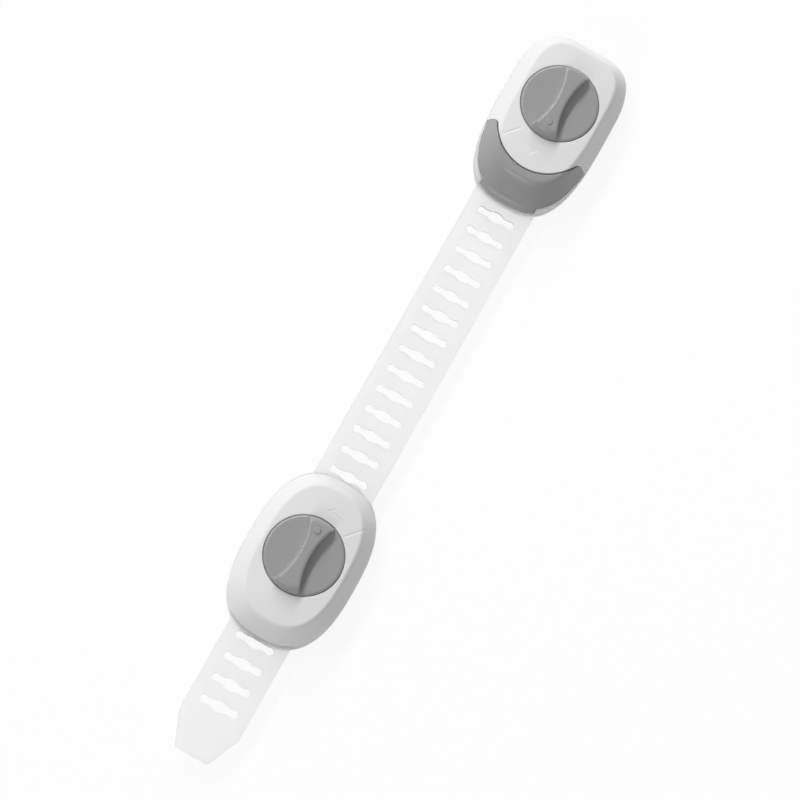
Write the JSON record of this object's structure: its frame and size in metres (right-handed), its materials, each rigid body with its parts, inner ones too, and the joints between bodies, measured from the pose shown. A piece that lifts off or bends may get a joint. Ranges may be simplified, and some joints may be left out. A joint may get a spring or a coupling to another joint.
{
  "type": "cabinet safety lock",
  "caption": "Adjustable cabinet safety lock: a slotted strap that plugs into a latch housing and slides through an adjuster housing, each locked by a grip dial.",
  "frame": {"origin": "middle of the whole lock's box, on the mounting surface under the adhesive pads", "axes": "+Y along the strap towards the latch housing, +Z away from the mounting surface, +X across the strap"},
  "size_m": [0.0322, 0.2242, 0.017],
  "materials": {
    "white_plastic": "satin",
    "grey_plastic": "satin",
    "clear_plastic": "satin, slightly see-through",
    "strap_plastic": "flexible, slightly see-through",
    "foam": "soft adhesive foam",
    "steel": "plain"
  },
  "bodies": {
    "latch_housing": {"latch_pad": "foam", "latch_base": "clear_plastic", "latch_cover": "white_plastic", "latch_click_spring": "steel", "latch_case_screws": "steel"},
    "latch_knob": {"latch_dial": "grey_plastic", "latch_catch": "clear_plastic", "latch_catch_screw": "steel"},
    "strap_unit": {"strap_head": "grey_plastic", "catch_pin": "steel", "strap_clamp_plate": "steel", "strap_rivets": "steel", "strap": "strap_plastic"},
    "adjuster_housing": {"adjuster_pad": "foam", "adjuster_base": "clear_plastic", "adjuster_cover": "white_plastic", "adjuster_case_screws": "steel", "lift_springs": "steel"},
    "adjuster_knob": {"adjuster_dial": "grey_plastic", "adjuster_cam": "clear_plastic", "adjuster_cam_screw": "steel"},
    "lock_ring": {"tooth_ring": "grey_plastic", "follower_pins": "steel"}
  },
  "joints": [
    {"name": "latch_dial_turn", "type": "hinge", "parent": "latch_housing", "child": "latch_knob", "pos_m": [0, 0.09095, 0.0108], "axis": [0, 0, 1], "range_deg": [-31, 0]},
    {"name": "strap_release", "type": "slide", "parent": "latch_housing", "child": "strap_unit", "axis": [0, -1, 0], "range_m": [0, 0.032]},
    {"name": "adjuster_slide", "type": "slide", "parent": "strap_unit", "child": "adjuster_housing", "axis": [0, 1, 0], "range_m": [-0.0448, 0.0832]},
    {"name": "adjuster_dial_turn", "type": "hinge", "parent": "adjuster_housing", "child": "adjuster_knob", "pos_m": [0, -0.05255, 0.0108], "axis": [0, 0, 1], "range_deg": [-38, 0]},
    {"name": "lock_ring_drop", "type": "slide", "parent": "adjuster_housing", "child": "lock_ring", "axis": [0, 0, 1], "range_m": [-0.0015, 0], "deforming": ["lift_springs"]}
  ],
  "couplings": [
    {"joint": "adjuster_dial_turn", "follows": "lock_ring_drop", "rad_per_m": 442.14}
  ]
}
